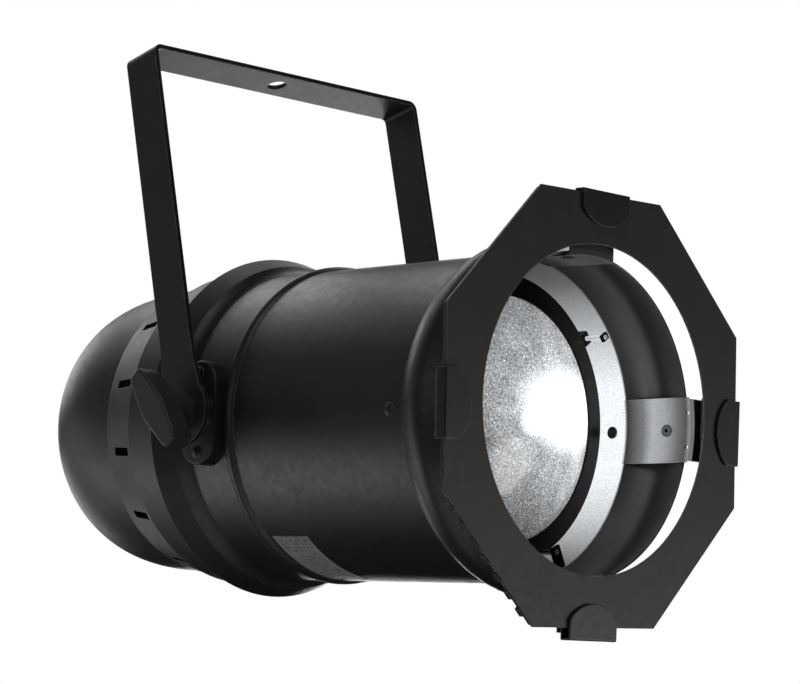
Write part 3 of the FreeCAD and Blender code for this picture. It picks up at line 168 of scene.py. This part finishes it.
class Shader:
    """A material under construction."""

    def __init__(self, name):
        self.material = bpy.data.materials.new(name)
        self.material.use_nodes = True
        self.nodes = self.material.node_tree.nodes
        self.links = self.material.node_tree.links
        self.surface = self.nodes["Principled BSDF"]
        self.place = self.nodes.new("ShaderNodeTexCoord").outputs["Object"]

    def set(self, **values):
        """Fixed values for the surface's sockets, with _ for each space in a name."""
        for name, value in values.items():
            self.surface.inputs[name.replace("_", " ")].default_value = value

    def feed(self, socket, source):
        self.links.new(source, self.surface.inputs[socket])

    def node(self, kind, inputs=None, **settings):
        """A new node. Its inputs are numbers, or outputs to link."""
        node = self.nodes.new(kind)
        for name, value in settings.items():
            setattr(node, name, value)
        for name, value in (inputs or {}).items():
            if hasattr(value, "is_linked"):
                self.links.new(value, node.inputs[name])
            else:
                node.inputs[name].default_value = value
        return node

    def math(self, operation, first, second=0.0, third=0.0):
        inputs = {0: first, 1: second, 2: third}
        return self.node("ShaderNodeMath", inputs, operation=operation).outputs[0]

    def product(self, *values):
        total = values[0]
        for value in values[1:]:
            total = self.math("MULTIPLY", total, value)
        return total

    def noise(self, size, detail=2.0, place=None):
        """Noise with features of about the given size in metres."""
        values = {"Vector": place or self.place, "Scale": 1.0 / size, "Detail": detail}
        return self.node("ShaderNodeTexNoise", values).outputs["Fac"]

    def spread(self, source, low, high, start=0.3, end=0.7):
        """Stretch a value from start..end to low..high."""
        values = {"Value": source, "From Min": start, "From Max": end, "To Min": low, "To Max": high}
        return self.node("ShaderNodeMapRange", values).outputs["Result"]

    def smooth(self, source, start, end):
        """0 to 1 as the value goes from start to end, with soft ends."""
        values = {"Value": source, "From Min": start, "From Max": end}
        node = self.node("ShaderNodeMapRange", values, interpolation_type="SMOOTHSTEP")
        return node.outputs["Result"]

    def ramp(self, source, *stops):
        """A colour ramp with (place, colour) stops."""
        node = self.node("ShaderNodeValToRGB", {"Fac": source})
        ramp = node.color_ramp
        while len(ramp.elements) < len(stops):
            ramp.elements.new(0.5)
        for element, (place, colour) in zip(ramp.elements, stops):
            element.position = place
            element.color = (*colour, 1.0)
        return node.outputs["Color"]

    def blend(self, share, first, second):
        """A colour between two, by a share from 0 to 1."""
        node = self.node("ShaderNodeMix", data_type="RGBA")
        for socket, value in ((0, share), (6, first), (7, second)):
            if hasattr(value, "is_linked"):
                self.links.new(value, node.inputs[socket])
            else:
                node.inputs[socket].default_value = value
        return node.outputs[2]

    def bump(self, height, depth, normal=None):
        values = {"Height": height, "Distance": depth}
        if normal is not None:
            values["Normal"] = normal
        return self.node("ShaderNodeBump", values).outputs["Normal"]

    def soft_edge(self, radius):
        """The normal with its sharp edges rounded."""
        return self.node("ShaderNodeBevel", {"Radius": radius}, samples=4).outputs["Normal"]

    def paint_edge_highlight(self, rounded):
        """A painted highlight: 0 on flat faces, towards 1 along sharp edges, broken up by noise."""
        flat = self.node("ShaderNodeNewGeometry").outputs["Normal"]
        facing = self.node("ShaderNodeVectorMath", {0: rounded, 1: flat}, operation="DOT_PRODUCT")
        edge = self.spread(facing.outputs["Value"], 1.0, 0.0, 0.8, 0.98)
        return self.math("MULTIPLY", edge, self.spread(self.noise(4 * MM, 4.0), 0.2, 1.0))

    def in_head(self):
        """Coordinates in the head's frame: across, back along the light's axis, and up."""
        turn = TO_HEAD.to_euler()
        values = {"Vector": self.place, "Location": TO_HEAD.translation, "Rotation": turn}
        moved = self.node("ShaderNodeMapping", values).outputs["Vector"]
        parts = self.node("ShaderNodeSeparateXYZ", {0: moved})
        return [parts.outputs[axis] for axis in range(3)]


def grey(level, tint=(1.0, 1.0, 1.0)):
    return tuple(level * part for part in tint)


def coat(name, level, rough, grain=0.5 * MM, depth=0.02 * MM,
         tint=(1.0, 0.985, 1.0), edge=0.9 * MM, edge_highlight_grey=0.45):
    """Powder coat: an orange-peel skin, slightly mottled, and paler along its edges, which is a painted
    highlight.
    """
    shader = Shader(name)
    rounded = shader.soft_edge(edge)
    mottle = shader.noise(14 * MM, 3.0)
    skin = shader.ramp(mottle, (0.3, grey(level * 0.88, tint)), (0.7, grey(level * 1.12, tint)))
    # Paler along the edges: a painted highlight, blended towards a light grey.
    shader.feed("Base Color", shader.blend(shader.paint_edge_highlight(rounded), skin, (edge_highlight_grey, edge_highlight_grey, edge_highlight_grey, 1.0)))
    shader.feed("Roughness", shader.spread(shader.noise(5 * MM), rough - 0.04, rough + 0.04))
    shader.feed("Normal", shader.bump(shader.noise(grain), depth, rounded))
    return shader


def metal(name, colour, rough, streak=(1.0, 1.0, 1.0), grain=0.4 * MM):
    """Bare metal with fine directional scratches."""
    shader = Shader(name)
    stretch = shader.node("ShaderNodeMapping", {"Vector": shader.place, "Scale": streak}).outputs["Vector"]
    lines = shader.noise(grain, 3.0, stretch)
    shader.set(Metallic=1.0)
    shader.feed("Base Color", shader.ramp(lines, (0.3, tuple(part * 0.85 for part in colour)), (0.7, colour)))
    shader.feed("Roughness", shader.spread(lines, rough - 0.07, rough + 0.07))
    shader.feed("Normal", shader.bump(lines, 0.008 * MM, shader.soft_edge(0.3 * MM)))
    return shader


def plastic(name, colour, rough, grain=0.25 * MM, depth=0.02 * MM):
    """Moulded plastic with a fine spark-eroded texture."""
    shader = Shader(name)
    tone = shader.noise(9 * MM, 3.0)
    shader.feed("Base Color", shader.ramp(tone, (0.3, tuple(part * 0.85 for part in colour)), (0.7, colour)))
    shader.feed("Roughness", shader.spread(shader.noise(2 * MM), rough - 0.05, rough + 0.05))
    shader.feed("Normal", shader.bump(shader.noise(grain), depth, shader.soft_edge(0.6 * MM)))
    return shader


LENS_LOW, LENS_HIGH = head_box("lens_glass")
BEZEL_BACK = head_box("lens_bezel")[1].y
LENS_RADIUS = LENS_HIGH.x
WALL_RADIUS = head_box("engine_plate")[1].x
SHOULDER_BACK = head_box("rod_brackets")[0].y
STRIP_REACH = 54 * MM  # the clip strips go on in front of the shoulder
# The lens's core sits off its axis, towards +X and a little up: a painted highlight, where the light source
# shows through the glass at a slant.
CORE_X = 0.52 * LENS_RADIUS
CORE_RISE = 0.11 * LENS_RADIUS
LAMP_TINT = (0.94, 0.97, 1.0, 1.0)


def from_axis(shader, across, rise, squash=1.0):
    """Distance from the axis, with the upright part stretched by a factor."""
    upright = shader.math("POWER", shader.math("MULTIPLY", rise, squash), 2.0)
    return shader.math("SQRT", shader.math("ADD", shader.math("POWER", across, 2.0), upright))


def lamp_wash(shader, strip=False):
    """Light from the lit lens on the wall around it. Clip strips also catch it in front of there."""
    across, back, rise = shader.in_head()
    radius = from_axis(shader, across, rise)
    inside = shader.math("LESS_THAN", radius, WALL_RADIUS + 0.7 * MM)
    near = shader.smooth(back, BEZEL_BACK + 34 * MM, BEZEL_BACK + 14 * MM)
    if strip:
        share = shader.spread(back, 0.0, 1.0, SHOULDER_BACK - STRIP_REACH, SHOULDER_BACK)
        behind = shader.ramp(share, (0.0, grey(0.18)), (0.05, grey(0.0)), (0.17, grey(0.08)),
                             (0.36, grey(0.30)), (0.56, grey(0.40)), (0.70, grey(0.15)),
                             (0.96, grey(0.02)), (1.0, grey(1.0)))
    else:
        behind = shader.smooth(back, SHOULDER_BACK - 1.5 * MM, SHOULDER_BACK + 0.5 * MM)
    side = shader.math("DIVIDE", across, radius)
    height = shader.math("DIVIDE", rise, radius)
    strength = shader.ramp(side, (0.0, grey(0.16)), (0.45, grey(0.34)), (0.80, grey(0.80)), (0.97, grey(1.0)))
    upright = shader.spread(height, 0.0, 1.0, -1.0, 1.0)
    shade = shader.ramp(upright, (0.03, grey(0.28)), (0.22, grey(0.80)), (0.35, grey(1.0)),
                        (0.65, grey(1.0)), (0.97, grey(0.33)))
    speckle = shader.spread(shader.noise(0.9 * MM, 1.0), 0.78, 1.16)
    shader.set(Emission_Color=LAMP_TINT)
    shader.feed("Emission Strength", shader.product(inside, behind, near, speckle, strength, shade))
    return shader


def lens_material():
    """Lit glass: a blown-out core set off the axis as a painted highlight, a halo, faint streaks that spread
    from it, and etched specks.
    """
    shader = Shader("lit_lens")
    across, back, rise = shader.in_head()
    dx = shader.math("SUBTRACT", across, CORE_X)
    dz = shader.math("SUBTRACT", rise, CORE_RISE)
    core_reach = from_axis(shader, dx, dz, 1.85)
    reach = from_axis(shader, dx, dz, 1.35)
    angle = shader.math("ARCTAN2", dz, dx)
    fan = shader.node("ShaderNodeCombineXYZ", {"X": shader.math("MULTIPLY", angle, 7.0),
                                               "Y": shader.math("MULTIPLY", reach, 25.0)})
    streaks = shader.noise(1.0, 5.0, fan.outputs[0])
    clouds = shader.noise(26 * MM, 4.0)
    etched = shader.noise(1.0 * MM, 3.0)
    glints = shader.spread(shader.noise(1.2 * MM, 4.0), 0.0, 1.0, 0.60, 0.68)
    core = shader.smooth(shader.math("MULTIPLY", core_reach, shader.spread(streaks, 0.94, 1.06)),
                         0.74 * LENS_RADIUS, 0.14 * LENS_RADIUS)
    halo = shader.smooth(reach, 1.45 * LENS_RADIUS, 0.35 * LENS_RADIUS)
    rim = shader.smooth(from_axis(shader, across, rise), 0.975 * LENS_RADIUS, 0.995 * LENS_RADIUS)
    base = shader.math("MULTIPLY_ADD", halo, 0.42, 0.13)
    veil = shader.product(base, shader.spread(streaks, 0.82, 1.18), shader.spread(clouds, 0.75, 1.25),
                          shader.spread(etched, 0.40, 1.60, 0.36, 0.64))
    sparkle = shader.math("MULTIPLY", glints, shader.math("MULTIPLY_ADD", halo, 0.50, 0.35))
    glow = shader.math("ADD", shader.math("MULTIPLY", core, 1.7), shader.math("MULTIPLY", rim, 0.22))
    shader.set(Base_Color=(0.03, 0.03, 0.03, 1.0), Roughness=0.12, Emission_Color=LAMP_TINT)
    shader.feed("Emission Strength", shader.math("ADD", shader.math("ADD", veil, sparkle), glow))
    shader.feed("Normal", shader.bump(shader.noise(0.6 * MM), 0.03 * MM))
    return shader


LABEL_ROW = 2.6 * MM
LABEL_DASH = 1.3 * MM
LABEL_MARGIN = 3 * MM


def foil_label():
    """Silver-grey foil with rows of short dark dashes, which stand in for small print."""
    shader = Shader("foil_label")
    low, high = head_box("rating_label")
    across, back, _ = shader.in_head()
    row = shader.math("DIVIDE", shader.math("SUBTRACT", across, low.x), LABEL_ROW)
    line = shader.math("LESS_THAN", shader.math("FRACT", row), 0.42)
    seat = shader.node("ShaderNodeCombineXYZ", {"X": shader.math("MULTIPLY", back, 1.0 / LABEL_DASH),
                                                "Y": shader.math("MULTIPLY", shader.math("FLOOR", row), 7.3)})
    dashes = shader.math("GREATER_THAN", shader.noise(1.0, 1.0, seat.outputs[0]), 0.5)
    after_start = shader.math("GREATER_THAN", back, low.y + LABEL_MARGIN)
    before_end = shader.math("LESS_THAN", back, high.y - LABEL_MARGIN)
    ink = shader.product(line, dashes, after_start, before_end)
    foil = shader.ramp(shader.noise(6 * MM, 3.0), (0.3, (0.28, 0.285, 0.29)), (0.7, (0.36, 0.365, 0.37)))
    shader.feed("Base Color", shader.blend(shader.math("MULTIPLY", ink, 0.75), foil, (0.05, 0.05, 0.05, 1.0)))
    shader.set(Roughness=0.45)
    shader.feed("Normal", shader.bump(shader.noise(3 * MM), 0.02 * MM))
    return shader


def solder_mask():
    """Green circuit board with a faint pattern of tracks."""
    shader = Shader("solder_mask")
    values = {"Vector": shader.place, "Scale": 160.0}
    cells = shader.node("ShaderNodeTexVoronoi", values, distance="CHEBYCHEV")
    tracks = shader.smooth(cells.outputs["Distance"], 0.35, 0.45)
    shader.feed("Base Color", shader.blend(tracks, (0.012, 0.08, 0.03, 1.0), (0.03, 0.15, 0.06, 1.0)))
    shader.set(Roughness=0.35)
    shader.feed("Normal", shader.bump(tracks, 0.03 * MM))
    return shader


def smoked_window():
    """The dark gloss window in front of the display."""
    shader = Shader("smoked_window")
    haze = shader.noise(8 * MM)
    shader.feed("Base Color", shader.ramp(haze, (0.3, grey(0.012)), (0.7, grey(0.02))))
    shader.set(Roughness=0.08)
    shader.feed("Normal", shader.bump(haze, 0.01 * MM))
    return shader


def phosphor():
    """The lit yellow face of the light source."""
    shader = Shader("phosphor")
    dots = shader.node("ShaderNodeTexVoronoi", {"Vector": shader.place, "Scale": 500.0}).outputs["Distance"]
    shader.feed("Base Color", shader.ramp(dots, (0.0, (0.95, 0.86, 0.30)), (1.0, (0.80, 0.68, 0.16))))
    shader.set(Roughness=0.5, Emission_Color=(1.0, 0.97, 0.88, 1.0), Emission_Strength=4.0)
    return shader


MATERIALS = {
    "black_powder_coat": coat("body_coat", 0.022, 0.42),
    "yoke_powder_coat": coat("yoke_coat", 0.020, 0.45),
    "black_plastic": plastic("black_plastic", grey(0.055), 0.50, 0.35 * MM, 0.05 * MM),
    "button_plastic": plastic("button_plastic", grey(0.06), 0.45),
    "zinc_steel": metal("zinc_steel", (0.62, 0.62, 0.60), 0.35, (1.0, 0.2, 1.0)),
    "black_steel_screws": metal("black_steel", grey(0.10), 0.35),
    "cast_aluminium": metal("cast_aluminium", (0.60, 0.61, 0.63), 0.50),
    "bright_aluminium": metal("bright_aluminium", (0.85, 0.86, 0.88), 0.22, (1.0, 0.1, 1.0)),
    # The last value is the grey of its painted edge highlight.
    "black_anodised": coat("black_anodised", 0.005, 0.38, 0.2 * MM, 0.005 * MM,
                           tint=(1.0, 1.0, 1.0), edge=0.2 * MM, edge_highlight_grey=0.015),
    "lens_glass": lens_material(),
    "brass": metal("brass", (0.78, 0.60, 0.30), 0.25),
    "fibre": plastic("pressed_fibre", (0.12, 0.11, 0.10), 0.80, 0.8 * MM, 0.10 * MM),
    "ceramic": plastic("white_ceramic", (0.88, 0.88, 0.86), 0.40),
    "phosphor": phosphor(),
    "circuit_board": solder_mask(),
    "components": plastic("component_plastic", (0.05, 0.05, 0.06), 0.45),
    "display_window": smoked_window(),
    "label_foil": foil_label(),
}
MATERIALS["black_anodised"].set(Specular_IOR_Level=0.06)
FRAME_COAT = coat("frame_coat", 0.034, 0.50, tint=(1.0, 0.97, 1.0))
LIT_COAT = lamp_wash(coat("lit_body_coat", 0.022, 0.42))
LIT_CLIP = lamp_wash(coat("lit_clip_coat", 0.022, 0.42), strip=True)
LIT_STEEL = lamp_wash(metal("lit_steel", (0.62, 0.62, 0.60), 0.35, (1.0, 0.2, 1.0)))


def dress_nodes():
    """Each node gets the material of its slot. Pieces that the lens lights get a lit version."""
    for part in frame["record"]["subparts"]:
        name = part["node"]
        shader = MATERIALS[part["material_slot"]]
        if name.startswith("color_frame"):
            shader = FRAME_COAT
        elif name == "barrel":
            shader = LIT_COAT
        elif name.startswith("clip_") and name != "clip_rivets":
            shader = LIT_CLIP
        elif name == "guide_rods":
            shader = LIT_STEEL
        for slot in frame["nodes"][name].material_slots:
            slot.material = shader.material


dress_nodes()

# ---- Lens -------------------------------------------------------------------


LENS_RINGS = 90
LENS_SPOKES = 240
PEBBLE_DEPTH = 0.10 * MM
PEBBLE_SIZE = 1.6 * MM


def crown_ball():
    """The radius of the lens's crown, from where the glass meets its ground edge."""
    points = [TO_HEAD @ vertex.co for vertex in frame["nodes"]["lens_glass"].data.vertices]
    outer = [point for point in points if math.hypot(point.x, point.z) > LENS_RADIUS - 0.2 * MM]
    sag = min(point.y for point in outer) - LENS_LOW.y
    return (LENS_RADIUS**2 + sag**2) / (2 * sag)


def lens_loop(shape, radius, depth_at):
    """A ring of vertices around the axis, with the depth given at each place."""
    loop = []
    for spoke in range(LENS_SPOKES):
        turn = math.tau * spoke / LENS_SPOKES
        x, z = radius * math.cos(turn), radius * math.sin(turn)
        loop.append(shape.verts.new(HEAD @ Vector((x, depth_at(x, z), z))))
    return loop


def bridge(shape, first, second):
    """Faces between two rings of vertices."""
    for spoke in range(LENS_SPOKES):
        after = (spoke + 1) % LENS_SPOKES
        shape.faces.new((first[spoke], second[spoke], second[after], first[after]))


def lens_piece():
    """The plano-convex lens: a crown with a finely pebbled face, a ground edge and a flat back."""
    ball = crown_ball()

    def crown(x, z):
        pebble = PEBBLE_DEPTH * noise.noise(Vector((x, z, 0.0)) / PEBBLE_SIZE)
        return LENS_LOW.y + ball - math.sqrt(ball**2 - x**2 - z**2) + max(0.0, pebble)

    shape = bmesh.new()
    centre = shape.verts.new(HEAD @ Vector((0, LENS_LOW.y, 0)))
    loops = [lens_loop(shape, LENS_RADIUS * ring / LENS_RINGS, crown) for ring in range(1, LENS_RINGS + 1)]
    loops.append(lens_loop(shape, LENS_RADIUS, lambda x, z: LENS_HIGH.y))
    for spoke in range(LENS_SPOKES):
        shape.faces.new((centre, loops[0][spoke], loops[0][(spoke + 1) % LENS_SPOKES]))
    for first, second in zip(loops, loops[1:]):
        bridge(shape, first, second)
    shape.faces.new(loops[-1])
    bmesh.ops.recalc_face_normals(shape, faces=shape.faces)
    mesh = bpy.data.meshes.new("lens_crown")
    shape.to_mesh(mesh)
    shape.free()
    mesh.polygons.foreach_set("use_smooth", [True] * len(mesh.polygons))
    mesh.materials.append(MATERIALS["lens_glass"].material)
    lens = bpy.data.objects.new("lens_crown", mesh)
    bpy.context.scene.collection.objects.link(lens)
    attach(lens, "zoom_carriage")
    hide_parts("lens_glass")


lens_piece()


LAMP_POWER = 0.05


def lens_lamp():
    """A small light in front of the lens's core, which lights the barrel's mouth."""
    data = bpy.data.lights.new("lens_lamp", "POINT")
    data.energy = LAMP_POWER
    data.shadow_soft_size = 12 * MM
    data.color = LAMP_TINT[:3]
    lamp = bpy.data.objects.new("lens_lamp", data)
    seat = Vector((0.3 * LENS_RADIUS, LENS_LOW.y - 16 * MM, 0))
    lamp.matrix_world = HEAD @ Matrix.Translation(seat)
    lamp.visible_camera = False
    bpy.context.scene.collection.objects.link(lamp)


lens_lamp()

# ---- Floor ------------------------------------------------------------------


FLOOR_HALF = 2.5
FLOOR_LEVEL = -1.25


def make_floor():
    """A pale floor, evenly lit, that throws no light back up at the object."""
    mesh = bpy.data.meshes.new("studio_floor")
    shape = bmesh.new()
    bmesh.ops.create_grid(shape, x_segments=8, y_segments=8, size=FLOOR_HALF)
    shape.to_mesh(mesh)
    shape.free()
    floor = bpy.data.objects.new("studio_floor", mesh)
    floor.location = (0, 0, FLOOR_LEVEL)
    floor.visible_diffuse = False
    floor.visible_glossy = False
    shader = Shader("floor_paint")
    paint = shader.ramp(shader.noise(0.2), (0.3, grey(0.72)), (0.7, grey(0.76)))
    shader.feed("Base Color", paint)
    shader.feed("Emission Color", paint)
    shader.set(Roughness=0.8, Emission_Strength=0.6)
    mesh.materials.append(shader.material)
    bpy.context.scene.collection.objects.link(floor)


make_floor()
